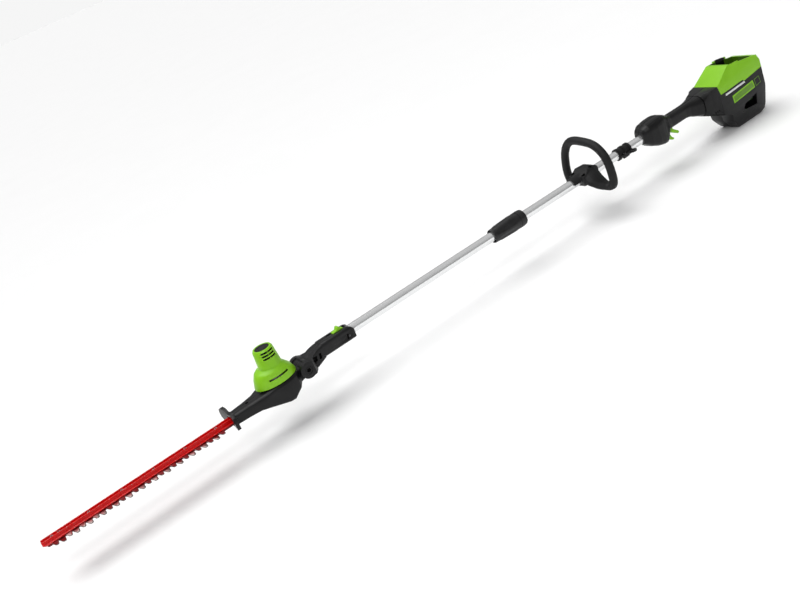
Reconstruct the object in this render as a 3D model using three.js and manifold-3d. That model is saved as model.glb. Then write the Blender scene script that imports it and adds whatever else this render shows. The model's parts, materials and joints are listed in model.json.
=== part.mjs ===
// Battery-powered pole hedge trimmer, modelled as an assembly of separate parts.
// Units are millimetres.  While modelling, the pole axis is the X axis (blade towards -X,
// battery housing towards +X), +Z is up and +Y is the operator's right-hand side.
// FRAME_SHIFT moves the finished parts so that the origin is the bottom centre of the tool.
import * as THREE from 'three';
import { mergeVertices } from 'three/addons/utils/BufferGeometryUtils.js';
import Module from 'manifold-3d';

const wasm = await Module();
wasm.setup();

// ---------------------------------------------------------------- driving dimensions
const GAP = 0.3;                       // clearance kept between neighbouring parts
const HALF_GAP = GAP / 2;
const FRAME_SHIFT = new THREE.Vector3(-190, 0, 136);

const POLE = { radius: 14, bore: 12.4, lowerStart: -241, joint: 390, upperEnd: 1020 };
const FIT_RADIUS = POLE.radius + GAP;  // bore of every part that clamps round the pole

const HINGE = { x: -321, z: -16, cheekRadius: 22, knuckleRadius: 19.5, knuckleHalf: 24, outerHalf: 38 };
const MOTOR_X = -394;                  // vertical motor axis
const CRANK = { x: -421, throw: 8, eccentric: 14, axle: 4 };
const GEAR_Z = [-34.4, -28.6];         // underside and top of the crank gear
const PINION_TEETH = 10;
const CRANK_TEETH = 34;

const BLADE = {
  tip: -1062, pitch: 34.6, firstUpper: -1033, firstLower: -1015.7, teethUpper: 14, teethLower: 13,
  spine: 13, reach: 33, travel: 8,
};
const RAIL = { top: -23, grooveFloor: -27.5, base: -34.6, end: -446 };
const UPPER_BLADE_Z = [-37.2, -34.9];
const LOWER_BLADE_Z = [-39.8, -37.5];
const RAIL_SCREWS = [-1034, -1016, -939, -851.5, -764, -676.5, -589];

const LOCK_PIN_Z = -5;                 // height of the head lock's pin
const SPRING_SEAT = -279.5;            // collar of the lock pin
const SPRING_WEB = [-264.5, -259.5];   // wall in the neck that the lock spring pushes on

const LOOP_X = 716;                    // foot of the front loop handle on the pole
const LOOP_LEAN = 0.06;                // how far the loop leans back per millimetre of height
// Bolts that clamp the loop handle on the pole: [x, y, height of the surface round the head]
const LOOP_BOLTS = [[676, -24, 14], [676, 24, 14], [709, -20.5, 24]];

const SHELL_WALL = 3;                  // wall of the moulded casings
const SEAM_X = 1178;                   // joint between rear grip and battery housing
const SEAM = { half: 38, top: 26, bottom: -40, round: 24 };
const BAY = { x0: 1314, x1: 1414, half: 40, floor: -52, wall: 2.4 };
const LATCH = { x0: 1344, x1: 1382 };

// ---------------------------------------------------------------- materials
const paint = (color, roughness, metalness = 0) =>
  new THREE.MeshStandardMaterial({ color, roughness, metalness });
const GREEN = paint(0x86c522, 0.42);
const BLACK = paint(0x26272a, 0.6);
const RUBBER = paint(0x1b1c1e, 0.85);
const RED = paint(0xc4161c, 0.35, 0.3);
const BLADE_STEEL = paint(0x7a1a22, 0.4, 0.8);
const ALUMINIUM = paint(0xd5d7da, 0.32, 0.9);
const STEEL = paint(0x9a9da1, 0.35, 0.9);
const COPPER = paint(0x8a5a3a, 0.5, 0.6);
const SILVER = paint(0xe2e4e6, 0.3, 0.5);
const BOARD = paint(0x1f5a34, 0.7);

// ---------------------------------------------------------------- solids
// Six times the volume enclosed by an indexed skin; negative when its faces point inwards.
function windingSign(position, index) {
  const [a, b, c] = [new THREE.Vector3(), new THREE.Vector3(), new THREE.Vector3()];
  let total = 0;
  for (let i = 0; i < index.length; i += 3) {
    a.fromArray(position, index[i] * 3);
    b.fromArray(position, index[i + 1] * 3);
    c.fromArray(position, index[i + 2] * 3);
    total += a.dot(b.cross(c));
  }
  return Math.sign(total);
}

function toSolid(geometry) {
  const bare = new THREE.BufferGeometry();
  bare.setAttribute('position', geometry.getAttribute('position').clone());
  if (geometry.index) bare.setIndex(geometry.index.clone());
  const merged = mergeVertices(bare, 1e-4);
  const vertProperties = new Float32Array(merged.getAttribute('position').array);
  const triVerts = new Uint32Array(merged.index.array);
  return new wasm.Manifold(new wasm.Mesh({ numProp: 3, vertProperties, triVerts }));
}

function toGeometry(solid) {
  const mesh = solid.getMesh();
  const geometry = new THREE.BufferGeometry();
  geometry.setAttribute('position', new THREE.BufferAttribute(new Float32Array(mesh.vertProperties), 3));
  geometry.setIndex(new THREE.BufferAttribute(new Uint32Array(mesh.triVerts), 1));
  return geometry;
}

const union = (first, ...rest) => rest.reduce((sum, solid) => sum.add(solid), first);
const cut = (first, ...rest) => rest.reduce((sum, solid) => sum.subtract(solid), first);

function box(x0, x1, y0, y1, z0, z1) {
  const geometry = new THREE.BoxGeometry(x1 - x0, y1 - y0, z1 - z0);
  geometry.translate((x0 + x1) / 2, (y0 + y1) / 2, (z0 + z1) / 2);
  return toSolid(geometry);
}

const TURN = {
  x: new THREE.Matrix4().makeRotationZ(-Math.PI / 2),
  y: new THREE.Matrix4(),
  z: new THREE.Matrix4().makeRotationX(Math.PI / 2),
};

const signedArea = (outline) => outline.reduce((sum, [a, b], i) => {
  const [c, d] = outline[(i + 1) % outline.length];
  return sum + (a * d - b * c) / 2;
}, 0);

// Solid of revolution: profile is a list of [radius, position along the axis], in either direction.
function turned(axis, profile, at, segments = 24) {
  const outward = signedArea(profile) > 0 ? profile : profile.slice().reverse();
  const points = outward.map(([radius, along]) => new THREE.Vector2(radius, along));
  const geometry = new THREE.LatheGeometry(points, segments);
  geometry.applyMatrix4(TURN[axis]);
  geometry.translate(...at);
  return toSolid(geometry);
}

function rod(axis, radius, from, to, at = [0, 0, 0], segments = 24) {
  return turned(axis, [[0, from], [radius, from], [radius, to], [0, to]], at, segments);
}

function tube(axis, radius, bore, from, to, at = [0, 0, 0], segments = 24) {
  const profile = [[bore, from], [radius, from], [radius, to], [bore, to], [bore, from]];
  return turned(axis, profile, at, segments);
}

// Flat outline pushed along one axis.  Outlines are [x, z] for 'y', [x, y] for 'z', [y, z] for 'x'.
function prism(axis, outline, from, to, holes = []) {
  const shape = new THREE.Shape(outline.map(([a, b]) => new THREE.Vector2(a, b)));
  for (const hole of holes) {
    shape.holes.push(new THREE.Path(hole.map(([a, b]) => new THREE.Vector2(a, b))));
  }
  const geometry = new THREE.ExtrudeGeometry(shape, { depth: to - from, bevelEnabled: false });
  geometry.translate(0, 0, from);
  const place = new THREE.Matrix4();
  if (axis === 'y') place.set(1, 0, 0, 0, 0, 0, -1, 0, 0, 1, 0, 0, 0, 0, 0, 1);
  if (axis === 'x') place.set(0, 0, 1, 0, 1, 0, 0, 0, 0, 1, 0, 0, 0, 0, 0, 1);
  if (axis === 'y') geometry.translate(0, 0, -(from + to));
  geometry.applyMatrix4(place);
  return toSolid(geometry);
}

// Closed skin through a list of rings with the same number of points.
function loft(rings, closed = false) {
  const count = rings[0].length;
  const positions = rings.flat().flatMap((point) => [point.x, point.y, point.z]);
  const index = [];
  const last = closed ? rings.length : rings.length - 1;
  for (let i = 0; i < last; i += 1) {
    const here = i * count;
    const next = ((i + 1) % rings.length) * count;
    for (let j = 0; j < count; j += 1) {
      const k = (j + 1) % count;
      index.push(here + j, next + j, next + k, here + j, next + k, here + k);
    }
  }
  if (!closed) {
    for (const [ring, flip] of [[0, true], [rings.length - 1, false]]) {
      const centre = new THREE.Vector3();
      rings[ring].forEach((point) => centre.add(point));
      centre.divideScalar(count);
      const hub = positions.length / 3;
      positions.push(centre.x, centre.y, centre.z);
      for (let j = 0; j < count; j += 1) {
        const a = ring * count + j;
        const b = ring * count + ((j + 1) % count);
        index.push(...(flip ? [hub, a, b] : [hub, b, a]));
      }
    }
  }
  const geometry = new THREE.BufferGeometry();
  geometry.setAttribute('position', new THREE.Float32BufferAttribute(positions, 3));
  geometry.setIndex(windingSign(positions, index) < 0 ? index.reverse() : index);
  return toSolid(geometry);
}

// Rounded-rectangle ring across the X axis; top and bottom may differ in half-width.
function crossRing(x, { top, bottom, up, down, round, lean = 0 }, inset = 0, steps = 4) {
  const r = Math.max(round - inset, 1);
  const corners = [
    [top - inset - r, up - inset - r, 0],
    [-(top - inset - r), up - inset - r, 1],
    [-(bottom - inset - r), down + inset + r, 2],
    [bottom - inset - r, down + inset + r, 3],
  ];
  const ring = [];
  for (const [y, z, quarter] of corners) {
    for (let s = 0; s <= steps; s += 1) {
      const angle = (quarter + s / steps) * Math.PI / 2;
      const height = z + r * Math.sin(angle);
      ring.push(new THREE.Vector3(x + lean * height, y + r * Math.cos(angle), height));
    }
  }
  return ring;
}

// stations: [x, half-width, top z, bottom z, corner radius, optional half-width at the bottom]
function crossLoft(stations, inset = 0, lean = 0) {
  return loft(stations.map(([x, width, up, down, round, under]) =>
    crossRing(x, { top: width, bottom: under ?? width, up, down, round, lean }, inset)));
}

// stations: [z, centre x, half-length in x, half-width in y]
function levelLoft(stations, inset = 0, segments = 30) {
  return loft(stations.map(([z, x, a, b]) => {
    const ring = [];
    for (let i = 0; i < segments; i += 1) {
      const angle = i / segments * Math.PI * 2;
      ring.push(new THREE.Vector3(x + (a - inset) * Math.cos(angle), (b - inset) * Math.sin(angle), z));
    }
    return ring;
  }));
}

// Round bar along a smooth curve through the given points.
function bar(points, radius, steps, sides = 8) {
  const curve = new THREE.CatmullRomCurve3(points.map((p) => new THREE.Vector3(...p)));
  const section = new THREE.Shape();
  section.absarc(0, 0, radius, 0, Math.PI * 2);
  return toSolid(new THREE.ExtrudeGeometry(section, {
    steps, extrudePath: curve, curveSegments: sides, bevelEnabled: false,
  }));
}

// Coil spring along the X axis.
function coil(at, radius, wire, from, to, turns) {
  const points = [];
  const perTurn = 10;
  for (let i = 0; i <= turns * perTurn; i += 1) {
    const angle = i / perTurn * Math.PI * 2;
    const along = from + (to - from) * i / (turns * perTurn);
    points.push([at[0] + along, at[1] + radius * Math.cos(angle), at[2] + radius * Math.sin(angle)]);
  }
  return bar(points, wire, turns * perTurn, 4);
}

const leftHalf = (solid) => solid.intersect(box(-2000, 2000, -300, -HALF_GAP, -400, 400));
const rightHalf = (solid) => solid.intersect(box(-2000, 2000, HALF_GAP, 300, -400, 400));
const slot = (x, halfLength, halfWidth) => {
  const outline = [];
  for (let i = 0; i < 12; i += 1) {
    const angle = (i + 0.5) / 12 * Math.PI * 2;
    const side = Math.cos(angle) > 0 ? 1 : -1;
    const along = side * (halfLength - halfWidth) + halfWidth * Math.cos(angle);
    outline.push([x + along, halfWidth * Math.sin(angle)]);
  }
  return outline;
};

// ---------------------------------------------------------------- assembly list
const trimmer = new THREE.Group();
trimmer.name = 'pole_hedge_trimmer';

function addPart(name, solid, material) {
  const geometry = toGeometry(solid);
  geometry.translate(FRAME_SHIFT.x, FRAME_SHIFT.y, FRAME_SHIFT.z);
  const mesh = new THREE.Mesh(geometry, material);
  mesh.name = name;
  trimmer.add(mesh);
}

// ---------------------------------------------------------------- cutting bar
function bladeRail() {
  const section = [
    [-14, RAIL.base], [14, RAIL.base], [14, RAIL.base + 2.4], [9, RAIL.base + 3.4], [9, RAIL.top],
    [5.5, RAIL.top], [5.5, RAIL.grooveFloor], [-5.5, RAIL.grooveFloor], [-5.5, RAIL.top],
    [-9, RAIL.top], [-9, RAIL.base + 3.4], [-14, RAIL.base + 2.4],
  ];
  const plan = [
    [BLADE.tip, -5], [BLADE.tip + 8, -14], [RAIL.end, -14],
    [RAIL.end, 14], [BLADE.tip + 8, 14], [BLADE.tip, 5],
  ];
  let rail = prism('x', section, BLADE.tip - 1, RAIL.end + 1).intersect(prism('z', plan, -50, 0));
  for (const x of RAIL_SCREWS) rail = rail.subtract(rod('z', 3.2, -45, -20, [x, 0, 0], 12));
  return rail;
}

// Half-outline of one toothed edge, walking from the tip of the blade to its root.
function toothedEdge(first, count, end, side) {
  const root = BLADE.spine;
  const start = BLADE.tip + 9;
  const edge = [[start, side * (root - 5)], [start + 3, side * root]];
  for (let i = 0; i < count; i += 1) {
    const x = first + i * BLADE.pitch;
    edge.push([x - 9.5, side * root], [x - 3.6, side * (BLADE.reach - 3)], [x - 1, side * BLADE.reach]);
    edge.push([x + 3.5, side * BLADE.reach], [x + 5.5, side * (BLADE.reach - 3)], [x + 6.5, side * root]);
  }
  edge.push([end, side * root]);
  return edge;
}

function reciprocatingBlade(first, count, [z0, z1]) {
  const reachX = CRANK.eccentric + CRANK.throw + BLADE.travel + 0.6;
  const reachY = CRANK.eccentric + CRANK.throw + 0.6;
  const yoke = { x0: CRANK.x - reachX - 6, x1: CRANK.x + reachX + 6, half: reachY + 5.4 };
  const near = toothedEdge(first, count, yoke.x0, -1);
  const far = toothedEdge(first, count, yoke.x0, 1).reverse();
  const frameCorner = [[yoke.x0, 17], [yoke.x0 + 11, yoke.half], [yoke.x1 - 11, yoke.half], [yoke.x1, 17]];
  const frame = [...frameCorner.map(([x, y]) => [x, -y]), ...frameCorner.slice().reverse()];
  const openingCorner = [
    [CRANK.x - reachX, reachY - 8], [CRANK.x - reachX + 8, reachY],
    [CRANK.x + reachX - 8, reachY], [CRANK.x + reachX, reachY - 8],
  ];
  const opening = [...openingCorner.map(([x, y]) => [x, -y]), ...openingCorner.slice().reverse()];
  const tipSlot = slot((RAIL_SCREWS[0] + RAIL_SCREWS[1]) / 2, BLADE.travel + 13, 3.6);
  const holes = [tipSlot, ...RAIL_SCREWS.slice(2).map((x) => slot(x, BLADE.travel + 4, 3.6))];
  return prism('z', [...near, ...frame, ...far], z0, z1, [...holes, opening]);
}

function railScrew(x) {
  const head = RAIL.grooveFloor + GAP;
  const nutTop = LOWER_BLADE_Z[0] - GAP;
  return turned('z', [
    [0, head + 2.6], [3.4, head + 2.6], [4.6, head + 1.6], [4.6, head], [2.9, head], [2.9, nutTop],
    [5.4, nutTop], [5.4, nutTop - 2.8], [0, nutTop - 2.8],
  ], [x, 0, 0], 12);
}

function bladeGuard() {
  const half = [
    [0, -14], [11, -12], [26, -5], [40, -4], [49, -9], [53, -19], [53, -32], [47, -43], [35, -48], [22, -48],
    [11, -46], [0, -46],
  ];
  const outline = [...half, ...half.slice(1, -1).reverse().map(([y, z]) => [-y, z])];
  // The lobes at the two sides bend forwards, towards the blade.
  const edge = (x, bend) => [-55, -41, -25, -8, 8, 25, 41, 55].map((y) => [x - bend * (y / 55) ** 2, y]);
  const bent = prism('z', [...edge(-547, 6), ...edge(-538.5, 5).reverse()], -60, 10);
  const collar = crossLoft([[-544, 22, -13.5, -47, 6], [-535.3, 20, -15.5, -45, 6]]);
  const opening = box(-570, -530, -16, 16, -43.2, -21.5);
  return cut(union(prism('x', outline, -570, -536).intersect(bent), collar), opening);
}

// ---------------------------------------------------------------- powered head
const HEAD_STATIONS = [
  [-535, 19, -16, -44.5, 6], [-500, 22, -14.5, -45, 7], [-470, 27, -12.5, -46, 8], [-454, 34.5, -10, -48, 9],
  [-437, 38.5, -6, -52, 10], [-420, 40, -2.3, -57, 11], [-397, 41, -2.3, -64, 12], [-382, 41, -2.3, -65, 12],
  [-356, 36, -2.3, -49, 10], [-345, 25, -2.8, -40, 7], [-330, 24, -4, -36, 6],
];
const KNUCKLE_AT = [HINGE.x, 0, HINGE.z];

function headShell() {
  const inner = HEAD_STATIONS.filter(([x]) => x < -350).map(([x, w, up, down, r]) =>
    [x === -535 ? -532 : x, w, up, down, r]);
  const body = union(
    crossLoft(HEAD_STATIONS),
    rod('y', HINGE.knuckleRadius, -HINGE.knuckleHalf, HINGE.knuckleHalf, KNUCKLE_AT, 32),
  );
  const cheekRoom = rod('y', HINGE.cheekRadius + 1.4, -60, 60, KNUCKLE_AT, 32);
  const knuckleBand = box(-400, -280, -HINGE.knuckleHalf, HINGE.knuckleHalf, -80, 40);
  return cut(
    body,
    crossLoft(inner, SHELL_WALL),
    cheekRoom.subtract(knuckleBand),
    box(-545, -520, -15, 15, -41.3, -22),
    rod('z', 26, -30, 10, [MOTOR_X, 0, 0]),
    rod('y', 5.4, -60, 60, KNUCKLE_AT),
    rod('z', 2.2, -20, 0, [-492, 0, 0], 12),
  );
}

const COVER_STATIONS = [
  [-2, -398, 59, 42], [2, -398, 59, 42], [20, -399, 52, 42], [33, -400.5, 42.5, 41], [37, -400, 38, 37],
  [40, MOTOR_X, 31.2, 31.2], [86, MOTOR_X, 27.4, 27.4], [90.5, MOTOR_X, 24.5, 24.5],
];

function motorCover() {
  const vents = [84, 76, 68].flatMap((z) => [-17, 1.5].map((x) =>
    box(MOTOR_X + x, MOTOR_X + x + 13, -60, 60, z - 1.4, z + 1.4)));
  const inner = COVER_STATIONS.slice(0, 7).map(([z, ...rest], i) => [i === 0 ? -5 : z, ...rest]);
  const cavity = levelLoft(inner, 2.6);
  const belowRim = box(-340, -300, -24.6, 24.6, -40, 12);
  const knuckleRoom = rod('y', HINGE.cheekRadius + 1.6, -60, 60, KNUCKLE_AT, 32);
  return cut(
    levelLoft(COVER_STATIONS), cavity, ...vents,
    box(-424, -370, -60, -30, 16.5, 18.9), box(-424, -370, 30, 60, 16.5, 18.9),
    rod('z', 20.3, 88, 95, [MOTOR_X, 0, 0]), belowRim, knuckleRoom,
  );
}

function motorFrame() {
  const profile = [
    [9.3, -0.5], [30, -0.5], [30, 3.5], [24, 3.5], [24, 66], [21.4, 66], [21.4, 3.5], [9.3, 3.5],
    [9.3, -0.5],
  ];
  return turned('z', profile, [MOTOR_X, 0, 0]).subtract(box(MOTOR_X - 4, MOTOR_X + 4, 0, 40, 8, 14));
}

// Simple gear outline: straight-sided teeth between a root and a tip radius.
// phase is where the first tooth stands, in tooth pitches.
function gearOutline(x, root, tip, teeth, phase) {
  const outline = [];
  for (let i = phase; i < phase + teeth; i += 1) {
    for (const [part, radius] of [[-0.3, root], [-0.1, tip], [0.1, tip], [0.3, root]]) {
      const angle = (i + part) / teeth * Math.PI * 2;
      outline.push([x + radius * Math.cos(angle), radius * Math.sin(angle)]);
    }
  }
  return outline;
}

function motorRotor() {
  return union(
    rod('z', 12, 12, 60, [MOTOR_X, 0, 0]),
    rod('z', 4, -33, 76, [MOTOR_X, 0, 0], 16),
    prism('z', gearOutline(MOTOR_X, 5, 7.2, PINION_TEETH, 0), GEAR_Z[0] + 0.6, GEAR_Z[1]),
    rod('z', 18, 67.5, 71, [MOTOR_X, 0, 0]),
  );
}

function crankGear() {
  const ecc = (side, z0, z1) => rod('z', CRANK.eccentric, z0, z1, [CRANK.x, side * CRANK.throw, 0], 28);
  return cut(
    union(
      prism('z', gearOutline(CRANK.x, 18.9, 21.4, CRANK_TEETH, 0.5), GEAR_Z[0], GEAR_Z[1]),
      ecc(1, UPPER_BLADE_Z[0], GEAR_Z[0] + 0.2),
      ecc(-1, LOWER_BLADE_Z[0], UPPER_BLADE_Z[0] + 0.2),
    ),
    rod('z', CRANK.axle + GAP, -60, 0, [CRANK.x, 0, 0], 16),
  );
}

function crankAxle() {
  const profile = [[0, -41], [CRANK.axle, -41], [CRANK.axle, -17.6], [7, -17.6], [7, -14.6], [0, -14.6]];
  return turned('z', profile, [CRANK.x, 0, 0], 16);
}

function gearPlate() {
  return cut(
    union(box(-486, -402, -19, 19, -21.2, -18), box(-486, -452, -13, 13, -22.7, -21.2 + 0.1)),
    rod('z', CRANK.axle + GAP, -60, 0, [CRANK.x, 0, 0], 16),
    rod('z', 26.6, -60, 0, [MOTOR_X, 0, 0]).intersect(box(-402, -300, -60, 60, -60, 0)),
  );
}

// ---------------------------------------------------------------- neck and head hinge
const NECK_SCREW_AT = [-262, 0, -16.5];
const POLE_SCREW_AT = [-176, 0, -6];

function neckShell() {
  const arcPoint = (degrees) => [
    HINGE.x + HINGE.cheekRadius * Math.cos(THREE.MathUtils.degToRad(degrees)),
    HINGE.z + HINGE.cheekRadius * Math.sin(THREE.MathUtils.degToRad(degrees)),
  ];
  const cheekArc = [];
  for (let degrees = 60; degrees <= 288; degrees += 12) cheekArc.push(arcPoint(degrees));
  const side = [
    ...cheekArc, [-294, -33], [-252, -20.5], [-163, -20.5], [-159, -17], [-157, 4], [-162, 12], [-174, 18],
    [-258, 18], [-263, 15], [-270, 12.5], [-283, 8.5], [-298, 2], [-303, 0],
  ];
  const plan = [
    [-345, -38], [-304, -38], [-299, -33], [-291, -23], [-248, -20.5], [-161, -20.5], [-156, -17],
    [-156, 17], [-161, 20.5], [-248, 20.5], [-291, 23], [-299, 33], [-304, 38], [-345, 38],
  ];
  const rounded = union(
    crossLoft([[-258, 20.5, 18, -20.5, 8], [-150, 20.5, 18, -20.5, 8]]),
    crossLoft([
      [-346, 38, 30, -60, 5], [-300, 38, 26, -50, 5], [-292, 24, 12, -34, 7], [-257.5, 20.5, 16, -23, 8],
    ]),
  );
  const body = prism('y', side, -38, 38).intersect(prism('z', plan, -60, 40)).intersect(rounded);
  const forkHalf = HINGE.knuckleHalf + 0.4;
  return cut(
    body,
    rod('y', HINGE.knuckleRadius + 1.2, -forkHalf, forkHalf, KNUCKLE_AT, 32),
    box(-350, HINGE.x, -forkHalf, forkHalf, -60, 40),
    rod('y', 32.5, -25.6, 25.6, KNUCKLE_AT, 32).intersect(box(-350, -285, -60, 60, -60, -22)),
    rod('x', FIT_RADIUS, POLE.lowerStart - GAP, -100, [0, 0, 0], 28),
    box(-286, SPRING_WEB[0], -12, 12, -12, 3),
    box(SPRING_WEB[1], POLE.lowerStart, -12, 12, -12, 6),
    box(-257, POLE.lowerStart, -5, 5, 5, 16.6),
    rod('x', 4.4, -320, -250, [0, 0, LOCK_PIN_Z], 16),
    box(-228, -172, -7.5, 7.5, 10, 25),
    box(-250, -200, -4.4, 4.4, 8, 16.6),
    rod('y', 5.4, -60, 60, KNUCKLE_AT),
    rod('y', 10.4, -60, -33, KNUCKLE_AT), rod('y', 10.4, 33, 60, KNUCKLE_AT),
    rod('y', 4.6, -60, -17.5, NECK_SCREW_AT, 16),
    rod('y', 2.3, -60, 12.3, NECK_SCREW_AT, 12),
    rod('y', 4.6, -60, -18.5, POLE_SCREW_AT, 16),
    rod('y', 3.3, -60, 0, POLE_SCREW_AT, 12),
  );
}

function hingeBolt() {
  return turned('y', [[0, -37.5], [9.8, -37.5], [9.8, -33.3], [5, -33.3], [5, 33.2], [0, 33.2]], KNUCKLE_AT);
}

function neckScrew() {
  const profile = [[0, -20.4], [4.2, -20.4], [4.2, -17.8], [2, -17.8], [2, 12], [0, 12]];
  return turned('y', profile, NECK_SCREW_AT, 12);
}

function releaseSlider() {
  const fin = [
    [-212, 14.8], [-180, 14.8], [-180, 19], [-186, 21], [-190, 28], [-195, 29], [-200, 21.5], [-212, 19.6],
  ];
  return cut(prism('y', fin, -7, 7), box(-214, -205, -4.8, 4.8, 10, 17.2));
}

function lockBar() {
  const strip = [[-206, 14.6], [-206, 16.3], [-256, 16.3], [-256, -8], [-252, -8], [-252, 14.6]];
  const blade = prism('y', strip, -4, 4);
  const pin = rod('x', 4, -299, -254, [0, 0, LOCK_PIN_Z], 16);
  const springSeat = rod('x', 6.5, -282, SPRING_SEAT, [0, 0, LOCK_PIN_Z], 16);
  return union(blade, pin, springSeat);
}

// Pushes the lock pin towards the hinge, between the pin's collar and the web in the neck.
function lockSpring() {
  return coil([0, 0, LOCK_PIN_Z], 5.4, 0.7, SPRING_SEAT + 1.1, SPRING_WEB[0] - 1.1, 4);
}

// ---------------------------------------------------------------- pole, joint and cables
const poleTube = (from, to) => tube('x', POLE.radius, POLE.bore, from, to, [0, 0, 0], 36);

function couplerSleeve() {
  const profile = [
    [FIT_RADIUS + 2.2, 352], [FIT_RADIUS + 2.2, 438], [FIT_RADIUS, 440], [FIT_RADIUS, 451], [20, 451],
    [23, 446], [24.4, 437], [24, 420], [20.6, 338], [19, 334], [16.8, 334], [FIT_RADIUS, 340],
    [FIT_RADIUS, 350], [FIT_RADIUS + 2.2, 352],
  ];
  const body = turned('x', profile, [0, 0, 0], 30);
  const flutes = [];
  for (let i = 0; i < 6; i += 1) {
    const angle = i / 6 * Math.PI * 2;
    flutes.push(rod('x', 4.2, 362, 430, [0, 26.4 * Math.cos(angle), 26.4 * Math.sin(angle)], 10));
  }
  return cut(body, ...flutes);
}

const LOWER_CABLE_ROUTE = [[-237, 0, 0], [0, 0, -3], [387, 0, 0]];
const UPPER_CABLE_ROUTE = [
  [391, 0, 0], [700, 0, -3], [1000, 0, 2], [1040, 0, 8.6], [1100, 0, 9.4], [1150, 0, 6], [1200, 0, -6],
  [1250, 0, -34], [1286, 0, -70],
];

function couplerCollar() {
  return tube('x', FIT_RADIUS + 1.9, FIT_RADIUS, 353, 437, [0, 0, 0], 28);
}

// ---------------------------------------------------------------- front loop handle
function loopHandle() {
  // [y, z, half-thickness in the loop plane, half-depth along the pole, shift along the pole]
  const arm = [
    [22, 6, 15, 31, -16], [42, -10, 14, 29.5, -18], [60, -26, 12.5, 22, -11], [76, -34, 12, 16, -2],
    [91, -31, 12, 13.5, 0], [98, -17, 12.5, 12.5, 0], [99, 6, 12.5, 12.5, 0],
  ];
  const otherArm = arm.slice().reverse().map(([y, ...rest]) => [-y, ...rest]);
  // [y, z] of the bow that the hand holds; its top slopes down towards the operator's left.
  const bow = [
    [94, 33], [85, 60], [68, 84], [48, 97.5], [25, 101.5], [0, 100], [-25, 97], [-48, 91.5], [-69, 79],
    [-87, 58], [-96, 33],
  ];
  const grip = bow.map(([y, z]) => [y, z, 12.5, 12.5, 0]);
  const loopStations = [[0, 10, 15, 28, -12], ...arm, ...grip, ...otherArm];
  const count = loopStations.length;
  const path = loopStations.map(([y, z]) => new THREE.Vector3(0, y, z));
  const curve = new THREE.CatmullRomCurve3(path, true, 'centripetal');
  const sides = 12;
  const steps = 2;
  const rings = [];
  for (let i = 0; i < count * steps; i += 1) {
    const centre = curve.getPoint(i / (count * steps));
    const along = curve.getTangent(i / (count * steps));
    const here = loopStations[Math.floor(i / steps)];
    const next = loopStations[(Math.floor(i / steps) + 1) % count];
    const mix = (i % steps) / steps;
    const [, , thin, deep, shift] = here.map((value, k) => value + (next[k] - value) * mix);
    const normal = new THREE.Vector3(0, along.z, -along.y);
    const ring = [];
    for (let j = 0; j < sides; j += 1) {
      const angle = j / sides * Math.PI * 2;
      ring.push(new THREE.Vector3(
        LOOP_X + shift + LOOP_LEAN * centre.z + deep * Math.sin(angle),
        centre.y + normal.y * thin * Math.cos(angle),
        centre.z + normal.z * thin * Math.cos(angle),
      ));
    }
    rings.push(ring);
  }
  const nose = rod('x', 18.8, 641, 680);
  const block = crossLoft([
    [668, 32, 14, -1.8, 3], [680, 32, 17, -1.8, 5], [692, 30, 27, -1.8, 7], [722, 27, 26, -1.8, 8],
    [734, 25, 19, -1.8, 6],
  ]);
  return cut(
    union(loft(rings, true), block, nose),
    rod('x', FIT_RADIUS, 600, 800, [0, 0, 0], 28),
    box(640, 745, -33.5, 33.5, -30, -1.8),
    ...LOOP_BOLTS.map(([x, y]) => rod('z', 2.8, -40, 40, [x, y, 0], 12)),
    ...LOOP_BOLTS.map(([x, y, top]) => rod('z', 5.2, top - 4, 60, [x, y, 0], 14)),
  );
}

function loopClamp() {
  const block = crossLoft([
    [670, 31, -2.2, -17, 3, 26], [690, 31, -2.2, -22, 4, 22], [729, 30, -2.2, -22, 4, 22],
  ]);
  return cut(
    block,
    rod('x', FIT_RADIUS, 600, 800, [0, 0, 0], 28),
    ...LOOP_BOLTS.map(([x, y]) => rod('z', 2.8, -11.5, 10, [x, y, 0], 12)),
  );
}

function loopBolt([x, y, top]) {
  const head = top - 4 + GAP;
  const profile = [[0, -11], [2.4, -11], [2.4, head], [4.8, head], [4.8, head + 3.2], [0, head + 3.2]];
  return turned('z', profile, [x, y, 0], 12);
}

// ---------------------------------------------------------------- strap clip
const STRAP_EYE = [873, -26, 0];
const STRAP_SCREW = [843, -22.5, 0];

function strapClip() {
  const ribs = [829, 849.5, 870].map((x) => tube('x', 18.8, FIT_RADIUS - 0.2, x, x + 8, [0, 0, 0], 24));
  const body = tube('x', 16.4, FIT_RADIUS - 0.2, 827, 880, [0, 0, 0], 24);
  const flange = box(829, 876, -27, -14, -6.5, -1.5);
  const tab = box(833, 856, -27, -22, -11, -4);
  return cut(
    union(body, ...ribs, flange, tab, rod('z', 11.5, -6.5, -1.5, STRAP_EYE)),
    rod('x', FIT_RADIUS, 780, 930, [0, 0, 0], 24),
    rod('z', 6.8, -12, 6, STRAP_EYE),
    rod('z', 2.8, -30, 10, STRAP_SCREW, 12),
  );
}

function strapScrew() {
  const profile = [[0, -11], [2.5, -11], [2.5, -1.2], [4.6, -1.2], [4.6, 2], [0, 2]];
  return turned('z', profile, STRAP_SCREW, 12);
}

// ---------------------------------------------------------------- rear grip
const GRIP_STATIONS = [
  [932, 19, 24, -15, 12], [939, 26, 31, -20, 16], [953, 33, 38, -31, 20], [980, 36.5, 41.5, -43, 23],
  [1000, 35.5, 42, -48.5, 22], [1012, 33.5, 41.5, -49, 20], [1023, 29, 38.5, -40, 17],
  [1032, 24.5, 34, -28, 15], [1042, 20.5, 27, -21.5, 13], [1054, 18.5, 21.8, -20.3, 13],
  [1118, 18.5, 21.4, -20, 13], [1136, 20.5, 21.5, -23, 14], [1154, 27.5, 22.5, -31, 18],
  [SEAM_X - HALF_GAP, SEAM.half, SEAM.top, SEAM.bottom, SEAM.round],
];

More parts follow.
